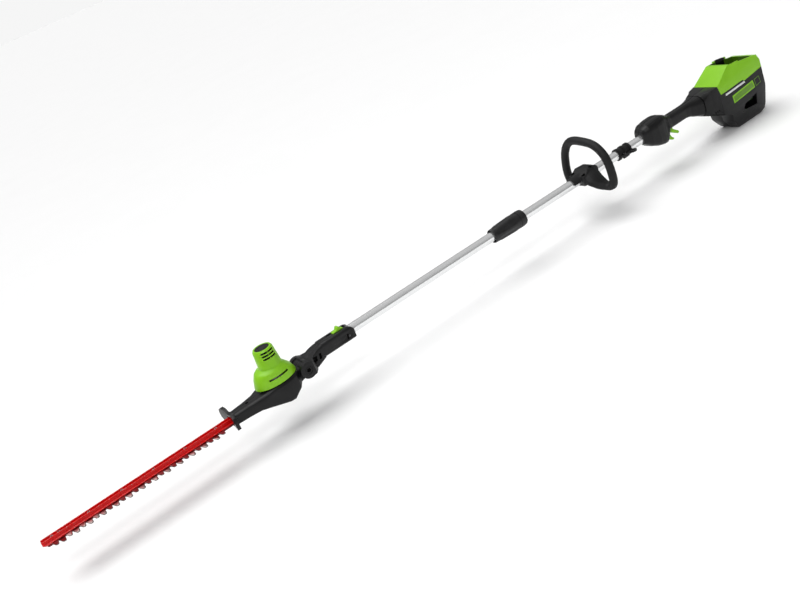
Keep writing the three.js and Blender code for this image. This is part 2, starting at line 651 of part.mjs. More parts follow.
function gripShell() {
  const inner = GRIP_STATIONS.map(([x, ...rest], i) => [i === 0 ? 935 : x, ...rest]);
  inner[inner.length - 1][0] = SEAM_X + 4;
  return cut(
    crossLoft(GRIP_STATIONS),
    crossLoft(inner, SHELL_WALL),
    rod('x', FIT_RADIUS, 900, 960, [0, 0, 0], 28),
    box(1018, 1062, -8.4, 8.4, -58, -12),
  );
}

function trigger() {
  const side = [
    [1016, -26], [1030, -23], [1038, -27], [1042, -34], [1047, -46], [1055, -54], [1051, -57.5], [1042, -54],
    [1035, -49], [1031, -42], [1025, -35], [1016, -34],
  ];
  return prism('y', side, -7, 7);
}

function lockLever() {
  const side = [
    [1049, -17], [1057, -17], [1059, -26], [1078, -40], [1080, -46], [1074, -47.5], [1053, -35],
    [1049.2, -28],
  ];
  return prism('y', side, -7.6, 7.6);
}

function switchBody() {
  return union(box(1020, 1048, -8, 8, -13, 1.2), box(1024, 1036, -5, 5, -19, -12.9));
}

// ---------------------------------------------------------------- battery housing
const HOUSING_SIDE = [
  [SEAM_X + HALF_GAP, 26], [1205, 27], [1238, 30], [1302, 69], [1350, 65], [1353, 61], [1418, 51],
  [1429, 49],
  [1436, 30], [1441, 9], [1432, -50], [1424, -108], [1418, -125], [1404, -136], [1300, -136], [1293, -132],
  [1271, -101], [1269, -80], [SEAM_X + HALF_GAP, -42],
];
const HOUSING_PLAN_HALF = [
  [SEAM_X + HALF_GAP, 39], [1206, 43.5], [1240, 49.5], [1300, 54], [1410, 55], [1430, 53], [1438, 46],
  [1442, 34],
];
// Envelope that rounds the front of the housing so that it meets the grip.
const HOUSING_ROUNDING = [
  [SEAM_X - 2, 38.5, 26.5, -41, 24], [1200, 45, 31, -60, 22], [1240, 54, 66, -110, 14],
  [1300, 60, 90, -150, 10], [1460, 60, 90, -150, 10],
];
const HOUSING_FRONT_HALF = [
  [39, 71], [42, 68], [52, 6], [53, -30], [50, -60], [42, -112], [39, -126], [32, -136],
];

// Outline moved inwards by a constant distance.
function insetOutline(outline, distance) {
  const side = signedArea(outline) > 0 ? 1 : -1;
  return outline.map(([px, py], i) => {
    const [ax, ay] = outline[(i + outline.length - 1) % outline.length];
    const [bx, by] = outline[(i + 1) % outline.length];
    const before = new THREE.Vector2(px - ax, py - ay).normalize();
    const after = new THREE.Vector2(bx - px, by - py).normalize();
    const bisect = new THREE.Vector2(-(before.y + after.y), before.x + after.x).normalize();
    const cosine = bisect.x * -before.y + bisect.y * before.x;
    const step = side * distance / Math.max(cosine, 0.4);
    return [px + bisect.x * step, py + bisect.y * step];
  });
}

const mirrored = (half) => [...half, ...half.slice().reverse().map(([a, b]) => [a, -b])];
const mirroredFront = (half) => [...half, ...half.slice().reverse().map(([a, b]) => [-a, b])];

function housingBody(inset) {
  const side = prism('y', insetOutline(HOUSING_SIDE, inset), -80, 80);
  const plan = prism('z', insetOutline(mirrored(HOUSING_PLAN_HALF), inset), -200, 120);
  const front = prism('x', insetOutline(mirroredFront(HOUSING_FRONT_HALF), inset), 1100, 1500);
  return side.intersect(plan).intersect(front).intersect(crossLoft(HOUSING_ROUNDING, inset));
}

const VENT_WINDOW = [[1324, -84], [1332, -72], [1387, -60], [1385, -96], [1330, -91]];
const COVER_OUTLINE = [
  [1241, 0], [1340, 4.5], [1346, -1.5], [1450, 10], [1450, 120], [1240, 120], [1234, 31],
];

function bayTub(grow, floor) {
  return crossLoft([
    [BAY.x0 - grow, BAY.half + grow, 120, floor, 10], [BAY.x1 + grow, BAY.half + grow, 120, floor, 10],
  ]);
}

function seamOpening() {
  const { top, bottom, half, round } = SEAM;
  const ring = [half - SHELL_WALL, top - SHELL_WALL, bottom + SHELL_WALL, round - SHELL_WALL];
  return crossLoft([[SEAM_X - 5, ...ring], [SEAM_X + 10, ...ring]]);
}

function housingShell() {
  const body = housingBody(0).subtract(prism('y', COVER_OUTLINE, -90, 90));
  const ventWindow = prism('y', VENT_WINDOW, -90, 90);
  const louvres = [1206, 1213, 1220].map((x) => box(x, x + 3, -90, 90, -47, -41));
  return cut(
    body,
    housingBody(SHELL_WALL).subtract(box(1290, 1450, -90, 90, -140, -126)),
    seamOpening(),
    ventWindow,
    ...louvres,
    badgeRecess(-1), badgeRecess(1), stripeRecess(-1), stripeRecess(1),
  );
}

const BADGE = [[1284, -50], [1281, -22], [1381, -14], [1385, -41]];
const STRIPE = [[1256, -12], [1258, -5], [1346, -1], [1350, -7.6]];

function sidePlate(outline, side, outer, inner, inset) {
  const [y0, y1] = side > 0 ? [inner, outer] : [-outer, -inner];
  return prism('y', insetOutline(outline, inset), y0, y1);
}

const badgeRecess = (side) => sidePlate(BADGE, side, 80, 51, 0);
const stripeRecess = (side) => sidePlate(STRIPE, side, 80, 50.6, 0);

function sideBadge(side) {
  return sidePlate(BADGE, side, 80, 51 + GAP, GAP).intersect(housingBody(0));
}

function sideStripe(side) {
  return sidePlate(STRIPE, side, 80, 50.6 + GAP, GAP).intersect(housingBody(0));
}

function bayCover() {
  const region = prism('y', insetOutline(COVER_OUTLINE, GAP), -90, 90);
  const shell = housingBody(0).subtract(housingBody(SHELL_WALL));
  const collar = bayTub(BAY.wall, BAY.floor - BAY.wall).intersect(housingBody(SHELL_WALL - 0.5));
  const postWidth = 7.4;
  const posts = [[LATCH.x0 - GAP * 2 - postWidth, 69], [LATCH.x1 + GAP * 2, 63]].map(([x, top]) =>
    box(x, x + postWidth, 41, 48, 40, top));
  return cut(
    union(shell.intersect(region), collar, ...posts),
    bayTub(0, BAY.floor),
    box(LATCH.x0 - GAP * 2, LATCH.x1 + GAP * 2, 38, 60, 34, 100),
  );
}

function batteryLatch() {
  const profile = [
    [40.6, 38], [48.6, 38], [48.6, 65], [46, 69.5], [42.5, 70.5], [40.6, 69], [37.5, 60], [40.6, 54],
  ];
  const slope = [[LATCH.x0 - 1, 71], [LATCH.x1 + 1, 64], [LATCH.x1 + 1, 80], [LATCH.x0 - 1, 80]];
  return prism('x', profile, LATCH.x0, LATCH.x1).subtract(prism('y', slope, 30, 60));
}

function terminalBlock() {
  const base = BAY.floor + GAP;
  const blades = [-15, -5, 5, 15].map((y) => box(1346, 1372, y - 1, y + 1, base + 3, base + 22));
  return union(box(1336, 1382, -24, 24, base, base + 8), ...blades);
}

function controllerBoard() {
  return union(
    box(1294, 1390, -28, 28, -80, -77),
    box(1304, 1340, -20, 20, -77.1, -60), box(1350, 1380, -20, -4, -77.1, -66),
    box(1350, 1380, 4, 20, -77.1, -64),
  );
}

// ---------------------------------------------------------------- build
addPart('blade_rail', bladeRail(), RED);
addPart('blade_upper', reciprocatingBlade(BLADE.firstUpper, BLADE.teethUpper, UPPER_BLADE_Z), BLADE_STEEL);
addPart('blade_lower', reciprocatingBlade(BLADE.firstLower, BLADE.teethLower, LOWER_BLADE_Z), BLADE_STEEL);
RAIL_SCREWS.forEach((x, i) => addPart(`rail_screw_${i + 1}`, railScrew(x), STEEL));
addPart('blade_guard', bladeGuard(), BLACK);
addPart('head_shell_left', leftHalf(headShell()), BLACK);
addPart('head_shell_right', rightHalf(headShell()), BLACK);
addPart('motor_cover', motorCover(), GREEN);
addPart('motor_cap', rod('z', 20, 88 + GAP, 90.2, [MOTOR_X, 0, 0], 28), BLACK);
addPart('motor_frame', motorFrame(), BLACK);
addPart('motor_stator', tube('z', 21, 12.6, 12, 60, [MOTOR_X, 0, 0]), COPPER);
addPart('motor_rotor', motorRotor(), STEEL);
addPart('rotor_bearing', tube('z', 9, 4.3, -0.4, 3.4, [MOTOR_X, 0, 0]), STEEL);
addPart('crank_gear', crankGear(), STEEL);
addPart('crank_axle', crankAxle(), STEEL);
addPart('gear_plate', gearPlate(), STEEL);

addPart('neck_left', leftHalf(neckShell()), BLACK);
addPart('neck_right', rightHalf(neckShell()), BLACK);
addPart('hinge_bolt', hingeBolt(), STEEL);
addPart('hinge_nut', rod('y', 9, 33.5, 37.6, KNUCKLE_AT, 6), STEEL);
addPart('release_slider', releaseSlider(), GREEN);
addPart('lock_bar', lockBar(), STEEL);
addPart('lock_spring', lockSpring(), STEEL);
addPart('neck_screw', neckScrew(), STEEL);
addPart('pole_set_screw', rod('y', 3, -19.6, -14.4, POLE_SCREW_AT, 12), STEEL);

addPart('lower_pole', poleTube(POLE.lowerStart, POLE.joint - HALF_GAP), ALUMINIUM);
addPart('upper_pole', poleTube(POLE.joint + HALF_GAP, POLE.upperEnd), ALUMINIUM);
addPart('coupler_sleeve', couplerSleeve(), RUBBER);
addPart('coupler_collar', couplerCollar(), STEEL);
addPart('lower_cable', bar(LOWER_CABLE_ROUTE, 3.4, 6), RUBBER);
addPart('upper_cable', bar(UPPER_CABLE_ROUTE, 3.4, 24), RUBBER);

addPart('loop_handle', loopHandle(), RUBBER);
addPart('loop_clamp', loopClamp(), BLACK);
LOOP_BOLTS.forEach((bolt, i) => addPart(`loop_bolt_${i + 1}`, loopBolt(bolt), STEEL));
addPart('strap_clip', strapClip(), BLACK);
addPart('strap_screw', strapScrew(), STEEL);

addPart('grip_left', leftHalf(gripShell()), BLACK);
addPart('grip_right', rightHalf(gripShell()), BLACK);
addPart('trigger', trigger(), GREEN);
addPart('lock_lever', lockLever(), GREEN);
addPart('trigger_switch', switchBody(), BLACK);
addPart('housing_left', leftHalf(housingShell()), BLACK);
addPart('housing_right', rightHalf(housingShell()), BLACK);
addPart('bay_cover', bayCover(), GREEN);
addPart('battery_latch', batteryLatch(), BLACK);
addPart('terminal_block', terminalBlock(), BLACK);
addPart('controller_board', controllerBoard(), BOARD);
addPart('side_badge_left', sideBadge(-1), GREEN);
addPart('side_badge_right', sideBadge(1), GREEN);
addPart('side_stripe_left', sideStripe(-1), SILVER);
addPart('side_stripe_right', sideStripe(1), SILVER);

export default trimmer;
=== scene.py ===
"""Battery-powered pole hedge trimmer: the finished look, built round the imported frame.

Everything is in metres in the frame's own axes: +X runs along the pole from the blade tip to
the battery housing, +Z is up, and -Y is the side that the camera sees.
"""
import json
import math

import bmesh
import bpy
from mathutils import Matrix, Vector
from mathutils.bvhtree import BVHTree


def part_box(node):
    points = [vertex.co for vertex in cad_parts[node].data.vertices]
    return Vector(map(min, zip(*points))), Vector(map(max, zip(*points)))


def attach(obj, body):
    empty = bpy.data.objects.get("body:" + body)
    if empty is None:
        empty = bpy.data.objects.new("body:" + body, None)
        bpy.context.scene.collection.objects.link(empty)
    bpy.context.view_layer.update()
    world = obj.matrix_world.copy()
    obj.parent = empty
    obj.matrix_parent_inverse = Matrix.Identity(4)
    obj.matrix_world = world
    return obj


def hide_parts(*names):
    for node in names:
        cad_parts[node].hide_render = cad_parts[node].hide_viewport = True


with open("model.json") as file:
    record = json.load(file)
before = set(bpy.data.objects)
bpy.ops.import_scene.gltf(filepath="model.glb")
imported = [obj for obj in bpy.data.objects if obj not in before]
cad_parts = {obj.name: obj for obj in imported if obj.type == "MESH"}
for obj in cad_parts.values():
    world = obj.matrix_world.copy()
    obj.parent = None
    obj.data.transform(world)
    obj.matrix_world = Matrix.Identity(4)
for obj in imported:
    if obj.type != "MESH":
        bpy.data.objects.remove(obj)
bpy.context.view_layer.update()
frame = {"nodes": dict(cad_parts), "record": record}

MM = 0.001
POLE_LOW, POLE_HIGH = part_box("upper_pole")
AXIS_Z = (POLE_LOW.z + POLE_HIGH.z) / 2     # height of the pole's axis
POLE_JOINT = POLE_LOW.x                     # where the two tubes meet
JOINT = 390.15                              # the same place in the CAD's millimetres along the pole
BODY_OF = {node: body for body, nodes in frame["record"]["behaviour"]["bodies"].items() for node in nodes}
SLOT_OF = {part["node"]: part["material_slot"] for part in frame["record"]["subparts"]}


def at(x, y, z):
    """A point given in the CAD's millimetres: along the pole, across it and above its axis."""
    return Vector((POLE_JOINT + (x - JOINT) * MM, y * MM, AXIS_Z + z * MM))


# Places on the tool in the CAD's millimetres: x along the pole, y across it, z above its axis.
FAR = 80                                    # |y| beyond both flanks of the housing
# Sockets and wells: a point on the axis, the axis, the radius, and where the cut starts and ends.
HEAD_TOP_WELL = ((-492, 0, 0), "Z", 4.2, -18.5, 0)
HINGE_SOCKET = ((-321, 0, -16), "Y", 5.4, -45, -33.6)
NECK_SOCKET = ((-262, 0, -16.5), "Y", 2.2, -30, -19)
STRAP_SOCKET = ((843, -22.5, 0), "Z", 2.2, 0.4, 8)

RAIL_SCREWS = (-1034, -1016, -939, -851.5, -764, -676.5, -589)          # x
RAIL_SOCKET = ("Z", 2.0, -26.4, -20)
GUARD_RECESS = ((-556, 22, -34), (-552.6, 44, -16))                     # corners
MOTOR = (-394, 0, 0)
VENT_HEIGHTS = (84, 76, 68)
VENT_STARTS = (-15.2, 2.8)                                              # x from the motor's axis
VENT_LENGTH, VENT_HALF = 16, 2.3
VENT_INNER, VENT_OUTER = 8, 60                                          # |y|
FLANGE_SLOT = ((-424.3, 27, 15.3), (-368.7, 62, 20.1))                  # corners
CAP_TOP = 90.2                                                          # z
WELL_RADIUS = 4.6                                                       # screws of the two cases
HEAD_WELLS = ((-505, -30), (-372, -44))                                 # x, z on the far side
HEAD_WELL_BOTTOM, HEAD_WELL_TOP = 14, 60                                # y
# Lightening pockets of the neck: lower front corner, upper rear corner (x, z), outer and inner |y|.
NECK_POCKETS = (((-293, -14), (-283, 0), 30.5, 19.0), ((-276, -15), (-269, 0), 28.5, 17.0),
                ((-185, -13), (-180, 2), 27, 18.2))
POCKET_TILT = 12.0                                                      # degrees
SLEEVE_START = 334                                                      # x
LOOP_BOLTS = ((676, -24, 14), (676, 24, 14), (709, -20.5, 24))          # x, y, z of their seat
LOOP_WELL = (6.0, 3.6, 14)                                              # radius, below and above it
LOOP_SOCKET = (2.4, 2.6, 6)                                             # the same for the bolts
PALM_LINE = ((938, 40), (950, 36), (960, 32), (970, 32), (984, 35), (1000, 38))
GRIP_LINE = ((1060, -18), (1066, -6), (1076, 5), (1088, 12), (1136, 14))
SEAM_X = 1178                                                           # between grip and housing
# The row of notches runs down and outwards along the flank, measured from its origin.
NOTCHES = range(1196, 1232, 5)                                          # x
NOTCH_ORIGIN, NOTCH_BOTTOM, NOTCH_OUTER = 1192, 36.6, 70                # x, |y|, |y|
NOTCH_LOW, NOTCH_HIGH, NOTCH_LENGTH = -45.4, -42.6, 2.4                 # z, z, along x
NOTCH_SLOPE, NOTCH_SPREAD = -0.475, 0.24                                # z per x, |y| per x
# Side badge and the outlined plate behind it, as (x, z) corners on the housing's flank.
BADGE = ((1284, -50), (1281, -22), (1381, -14), (1385, -41))
SMALL_PLATE = ((1389, -40), (1386, -15), (1410, -12), (1413, -36))
FRAME_STEPS = 6                                                         # faces along a frame's side
FRAME_SUNK, FRAME_SHOULDER, FRAME_TOP, FRAME_ROUND = -0.3, 0.3, 0.45, 0.2
CASE_SCREWS = ((1222, -20), (1300, -116), (1398, -112))                 # x, z on the far side
CASE_WELL_DEPTH = 1.6
# A case screw's head as (radius, depth below the surface), and its socket's radius and depths.
CASE_HEAD = ((0, 1.5), (3.9, 1.5), (3.9, 0.8), (3.5, 0.4), (0, 0.4))
CASE_SOCKET = (2.0, 1.2, -1)
BAY_MIDDLE, BAY_REACH, BAY_HALF = 1364, 50.6, 40.4                      # x, half length, half width
LATCH_LINES = (44, 48, 52, 56)                                          # z
LATCH_FRONT, LATCH_BACK = (1342, 30), (1384, 49.2)                      # x, y
LATCH_LINE_HEIGHT = 1.6


# ---------------------------------------------------------------- node helpers
MIX_FIRST, MIX_SECOND, MIX_RESULT = 6, 7, 2     # the sockets of a Mix node that carry colours


class Nodes:
    """A material's node tree, with the few nodes that the finishes below are made of."""

    def __init__(self, name):
        self.material = bpy.data.materials.new(name)
        self.material.use_nodes = True
        self.tree = self.material.node_tree
        self.shader = self.tree.nodes["Principled BSDF"]
        self.places = self.add("ShaderNodeTexCoord").outputs
        self.coords = self.places["Object"]

    def add(self, kind, **settings):
        node = self.tree.nodes.new(kind)
        for key, value in settings.items():
            setattr(node, key, value)
        return node

    def link(self, source, target):
        self.tree.links.new(source, target)

    def feed(self, socket, value):
        if isinstance(value, bpy.types.NodeSocket):
            self.link(value, socket)
        else:
            socket.default_value = value

    def math(self, operation, first, second=0.0):
        node = self.add("ShaderNodeMath", operation=operation)
        self.feed(node.inputs[0], first)
        self.feed(node.inputs[1], second)
        return node.outputs[0]

    def stretched(self, scale):
        node = self.add("ShaderNodeMapping")
        node.inputs["Scale"].default_value = scale
        self.link(self.coords, node.inputs["Vector"])
        return node.outputs["Vector"]

    def noise(self, scale, detail=4.0, roughness=0.55, vector=None):
        node = self.add("ShaderNodeTexNoise")
        node.inputs["Scale"].default_value = scale
        node.inputs["Detail"].default_value = detail
        node.inputs["Roughness"].default_value = roughness
        self.link(vector or self.coords, node.inputs["Vector"])
        return node.outputs["Fac"]

    def cells(self, scale):
        node = self.add("ShaderNodeTexVoronoi")
        node.inputs["Scale"].default_value = scale
        self.link(self.coords, node.inputs["Vector"])
        return node.outputs["Distance"]

    def ramp(self, value, low, high, start=0.0, end=1.0):
        """value from low..high mapped to start..end, clamped."""
        node = self.add("ShaderNodeMapRange", clamp=True)
        self.feed(node.inputs["Value"], value)
        node.inputs["From Min"].default_value = low
        node.inputs["From Max"].default_value = high
        node.inputs["To Min"].default_value = start
        node.inputs["To Max"].default_value = end
        return node.outputs["Result"]

    def blend(self, factor, first, second):
        node = self.add("ShaderNodeMix", data_type="RGBA")
        self.feed(node.inputs["Factor"], factor)
        self.feed(node.inputs[MIX_FIRST], first)
        self.feed(node.inputs[MIX_SECOND], second)
        return node.outputs[MIX_RESULT]

    def edges(self, low, high):
        """1 on convex edges, 0 elsewhere."""
        return self.ramp(self.add("ShaderNodeNewGeometry").outputs["Pointiness"], low, high)

    def axis(self, name, source="Object"):
        node = self.add("ShaderNodeSeparateXYZ")
        self.link(self.places[source], node.inputs[0])
        return node.outputs[name]

    def line(self, points, half):
        """1 along a line drawn on the sides of the tool through (x, z) points in CAD millimetres."""
        x, z = self.axis("X"), self.axis("Z")
        total = 0.0
        for (x0, z0), (x1, z1) in zip(points, points[1:]):
            start, end = at(x0, 0, z0), at(x1, 0, z1)
            slope = (end.z - start.z) / (end.x - start.x)
            rise = self.math("ADD", self.math("MULTIPLY", x, slope), start.z - slope * start.x)
            away = self.math("ABSOLUTE", self.math("SUBTRACT", z, rise))
            along = self.math("ABSOLUTE", self.math("SUBTRACT", x, (start.x + end.x) / 2))
            reach = (end.x - start.x) / 2
            near = self.math("MULTIPLY", self.ramp(away, 0.5 * half * MM, 1.3 * half * MM, 1.0, 0.0),
                             self.ramp(along, reach, reach + 0.4 * MM, 1.0, 0.0))
            total = self.math("MAXIMUM", total, near)
        return total

    def ring(self, place, half):
        """1 in a band across the tool at one place along the pole."""
        away = self.math("ABSOLUTE", self.math("SUBTRACT", self.axis("X"), at(place, 0, 0).x))
        return self.ramp(away, 0.6 * half * MM, 1.2 * half * MM, 1.0, 0.0)

    def bump(self, height, strength, distance):
        node = self.add("ShaderNodeBump")
        node.inputs["Strength"].default_value = strength
        node.inputs["Distance"].default_value = distance
        self.link(height, node.inputs["Height"])
        self.link(node.outputs["Normal"], self.shader.inputs["Normal"])

    def set(self, **values):
        for key, value in values.items():
            self.feed(self.shader.inputs[key.replace("_", " ")], value)


def rgb(red, green, blue):
    return (red, green, blue, 1.0)


# ---------------------------------------------------------------- finishes
def moulded(name, colour, worn, roughness, grain=1400.0, depth=0.00012, specular=0.5, grooves=None,
            inner=None, painted_shade_colour=None):
    """Injection-moulded plastic: spark-eroded grain, faint flow marks, edges rubbed smooth.

    grooves and inner are functions from the node tree to a mask: 1 in the bottom of the parting
    lines, which are sunk and painted near-black as shade, and 1 where the plastic is painted
    in a darker colour as shade.
    """
    n = Nodes(name)
    patches = n.noise(14.0, 3.0)
    flow = n.noise(60.0, 5.0, vector=n.stretched((0.35, 1.0, 1.0)))
    base = n.blend(n.ramp(patches, 0.35, 0.7), colour, worn)
    rubbed = n.math("MULTIPLY", n.edges(0.51, 0.6), n.ramp(flow, 0.35, 0.6))
    tint = n.blend(n.math("MULTIPLY", rubbed, 0.5), base, worn)
    # painted shade: where the inner mask is 1 the colour turns to the darker shade colour
    if inner:
        tint = n.blend(inner(n), tint, painted_shade_colour)
    height = n.noise(grain, 2.0, 0.6)
    if grooves:
        deep = grooves(n)
        # painted shade: the bottom of each groove is painted near-black as well as being sunk in the bump
        tint = n.blend(n.math("MULTIPLY", deep, 0.85), tint, rgb(0.001, 0.001, 0.001))
        height = n.math("SUBTRACT", height, n.math("MULTIPLY", deep, 6.0))
    n.set(Base_Color=tint)
    grained = n.math("ADD", n.ramp(flow, 0.2, 0.8, roughness - 0.07, roughness + 0.07),
                     n.math("MULTIPLY", rubbed, -0.12))
    n.set(Roughness=grained)
    n.set(Specular_IOR_Level=specular)
    n.bump(height, 0.35, depth)
    return n.material


BLACK = rgb(0.0048, 0.0048, 0.0051)
WORN_BLACK = rgb(0.012, 0.012, 0.0128)
GREEN = rgb(0.22, 0.53, 0.0085)
WORN_GREEN = rgb(0.25, 0.585, 0.012)
# painted shade for the inside of the battery tub
TUB_SHADE_GREEN = rgb(0.05, 0.135, 0.004)


def black_plastic():
    return moulded("black_plastic", BLACK, WORN_BLACK, 0.35, specular=0.24)


def casing_grooves(n):
    """Joint between grip and housing, and the edges of the soft cover moulded over the grip; both painted
    darker as shade.
    """
    soft = n.math("MAXIMUM", n.line(PALM_LINE, 1.0), n.line(GRIP_LINE, 1.0))
    return n.math("MAXIMUM", n.ring(SEAM_X, 1.7), soft)


def casing_plastic():
    return moulded("casing_plastic", BLACK, WORN_BLACK, 0.35, specular=0.24, grooves=casing_grooves)


def green_plastic():
    return moulded("green_plastic", GREEN, WORN_GREEN, 0.36, grain=1900.0, depth=0.00005, specular=0.32)


def inside_bay(n):
    """1 on the tub that takes the battery, between the walls of the cover, where shade is painted."""
    along = n.math("ABSOLUTE", n.math("SUBTRACT", n.axis("X"), at(BAY_MIDDLE, 0, 0).x))
    across = n.math("ABSOLUTE", n.axis("Y"))
    return n.math("MULTIPLY", n.ramp(along, (BAY_REACH - 0.1) * MM, (BAY_REACH + 0.3) * MM, 1.0, 0.0),
                  n.ramp(across, BAY_HALF * MM, (BAY_HALF + 0.4) * MM, 1.0, 0.0))


def bay_plastic():
    """The green cover: its outside as above, the tub that takes the battery painted darker as shade."""
    return moulded("bay_plastic", GREEN, WORN_GREEN, 0.36, grain=1900.0, depth=0.00005, specular=0.32,
                   inner=inside_bay, painted_shade_colour=TUB_SHADE_GREEN)


def black_rubber():
    n = Nodes("black_rubber")
    smudge = n.noise(25.0, 5.0)
    stipple = n.cells(900.0)
    n.set(Base_Color=n.blend(n.ramp(smudge, 0.35, 0.7), BLACK, WORN_BLACK))
    n.set(Roughness=n.ramp(smudge, 0.3, 0.7, 0.5, 0.68))
    n.set(Specular_IOR_Level=0.3)
    n.bump(stipple, 0.4, 0.00025)
    return n.material


def ribbed_rubber():
    """Soft sleeve with fine ribs round the tube."""
    n = Nodes("ribbed_rubber")
    smudge = n.noise(30.0, 5.0)
    wave = n.add("ShaderNodeTexWave", bands_direction="X")
    wave.inputs["Scale"].default_value = 160.0
    n.link(n.coords, wave.inputs["Vector"])
    n.set(Base_Color=n.blend(n.ramp(smudge, 0.35, 0.7), BLACK, WORN_BLACK))
    n.set(Roughness=n.ramp(smudge, 0.3, 0.7, 0.36, 0.5))
    n.set(Specular_IOR_Level=0.4)
    n.bump(wave.outputs["Fac"], 0.3, 0.0003)
    return n.material


def red_paint():
    """Gloss paint over steel, chipped and scuffed along its edges."""
    n = Nodes("red_paint")
    patches = n.noise(40.0, 4.0)
    chips = n.math("MULTIPLY", n.edges(0.53, 0.56), n.ramp(n.noise(420.0, 3.0), 0.6, 0.66))
    paint = n.blend(n.ramp(patches, 0.3, 0.7), rgb(0.60, 0.002, 0.002), rgb(0.68, 0.003, 0.003))
    n.set(Base_Color=n.blend(chips, paint, rgb(0.32, 0.31, 0.30)))
    n.set(Metallic=n.math("MULTIPLY", chips, 0.9))
    n.set(Roughness=n.ramp(n.noise(150.0, 5.0), 0.3, 0.7, 0.24, 0.38))
    n.set(Specular_IOR_Level=0.22)
    n.bump(n.noise(500.0, 3.0), 0.15, 0.0001)
    return n.material


def coated_blade():
    """Dark red coating on the flats of the teeth, bare ground steel on their bevelled edges."""
    n = Nodes("coated_blade")
    upright = n.math("ABSOLUTE", n.axis("Z", "Normal"))
    ground = n.ramp(upright, 0.9, 0.97, 1.0, 0.0)
    away = n.ramp(n.math("ABSOLUTE", n.axis("Y")), 14.0 * MM, 15.5 * MM)
    bare = n.math("MULTIPLY", ground, away)
    scratches = n.noise(500.0, 4.0, vector=n.stretched((0.15, 1.0, 1.0)))
    coat = n.blend(n.ramp(scratches, 0.45, 0.75), rgb(0.16, 0.004, 0.006), rgb(0.24, 0.008, 0.010))
    steel = n.blend(n.ramp(scratches, 0.3, 0.7), rgb(0.13, 0.10, 0.095), rgb(0.26, 0.21, 0.20))
    n.set(Base_Color=n.blend(bare, coat, steel))
    n.set(Metallic=n.ramp(bare, 0.0, 1.0, 0.35, 1.0))
    n.set(Roughness=n.ramp(scratches, 0.3, 0.7, 0.26, 0.42))
    n.bump(scratches, 0.2, 0.0001)
    return n.material


def metal(name, dark, light, low, high, grain, depth=0.00006, metallic=1.0):
    """Bare metal with a drawn or ground grain that runs across the stretched directions."""
    n = Nodes(name)
    lines = n.noise(1.0, 5.0, vector=n.stretched(grain))
    dull = n.noise(30.0, 4.0)
    n.set(Base_Color=n.blend(n.ramp(lines, 0.3, 0.7), dark, light))
    n.set(Metallic=metallic)
    n.set(Roughness=n.math("ADD", n.ramp(lines, 0.3, 0.7, low, high), n.ramp(dull, 0.4, 0.8, 0.0, 0.06)))
    n.bump(lines, 0.25, depth)
    return n.material


def pole_aluminium():
    """Drawn tube under a clear anodised layer, which scatters part of the light."""
    return metal("pole_aluminium", rgb(0.82, 0.825, 0.83), rgb(0.90, 0.905, 0.91), 0.15, 0.2,
                 (6.0, 2200.0, 2200.0), depth=0.000015, metallic=0.82)


def plated_steel():
    return metal("plated_steel", rgb(0.42, 0.42, 0.41), rgb(0.60, 0.60, 0.59), 0.26, 0.42,
                 (900.0, 900.0, 900.0))


def dark_steel():
    return metal("dark_steel", rgb(0.05, 0.05, 0.052), rgb(0.11, 0.11, 0.115), 0.34, 0.5,
                 (700.0, 700.0, 700.0))


def copper_winding():
    n = Nodes("copper_winding")
    wave = n.add("ShaderNodeTexWave", bands_direction="Z")
    wave.inputs["Scale"].default_value = 500.0
    n.link(n.coords, wave.inputs["Vector"])
    n.set(Base_Color=n.blend(wave.outputs["Fac"], rgb(0.20, 0.06, 0.02), rgb(0.45, 0.17, 0.06)))
    n.set(Metallic=0.8)
    n.set(Roughness=n.ramp(n.noise(300.0), 0.3, 0.7, 0.3, 0.5))
    n.bump(wave.outputs["Fac"], 0.5, 0.0003)
    return n.material


def silver_trim():
    n = Nodes("silver_trim")
    flakes = n.noise(2500.0, 2.0)
    n.set(Base_Color=n.blend(n.ramp(flakes, 0.4, 0.6), rgb(0.62, 0.63, 0.64), rgb(0.78, 0.79, 0.80)))
    n.set(Metallic=0.35)
    n.set(Roughness=n.ramp(n.noise(60.0), 0.3, 0.7, 0.22, 0.34))
    n.bump(flakes, 0.1, 0.00004)
    return n.material


def circuit_board():
    n = Nodes("circuit_board")
    tracks = n.cells(260.0)
    n.set(Base_Color=n.blend(n.ramp(tracks, 0.3, 0.36), rgb(0.10, 0.13, 0.03), rgb(0.012, 0.075, 0.03)))
    n.set(Roughness=n.ramp(tracks, 0.2, 0.5, 0.35, 0.5))
    n.bump(tracks, 0.2, 0.0001)
    return n.material


FINISH = {
    "green_plastic": green_plastic(),
    "black_plastic": black_plastic(),
    "black_rubber": black_rubber(),
    "red_paint": red_paint(),
    "blade_coat": coated_blade(),
    "pole_aluminium": pole_aluminium(),
    "steel": plated_steel(),
    "copper_winding": copper_winding(),
    "silver_trim": silver_trim(),
    "circuit_board": circuit_board(),
}
RIBBED = ribbed_rubber()
DARK_STEEL = dark_steel()
CASING = casing_plastic()
# Near-black with almost no gloss: painted shade on the walls of cuts and on the bolts sunk in wells.
PAINTED_SHADE = moulded("painted_shade_black", rgb(0.0012, 0.0012, 0.0013), rgb(0.002, 0.002, 0.0022), 0.6, specular=0.06)
# green, with its battery tub painted darker as shade
BAY_GREEN = bay_plastic()
DARK_BADGE = moulded("badge_green", rgb(0.10, 0.24, 0.006), rgb(0.13, 0.30, 0.01), 0.4, specular=0.3)


# ---------------------------------------------------------------- mesh helpers
def place(name, mesh, node, finish=None, replaced=()):
    """Puts a mesh in the scene as a piece that rides with a CAD node's body."""
    piece = bpy.data.objects.new(name, mesh)
    bpy.context.scene.collection.objects.link(piece)
    mesh.materials.clear()
    mesh.materials.append(finish or FINISH[SLOT_OF[node]])
    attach(piece, BODY_OF[node])
    if replaced:
        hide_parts(*replaced)
    return piece


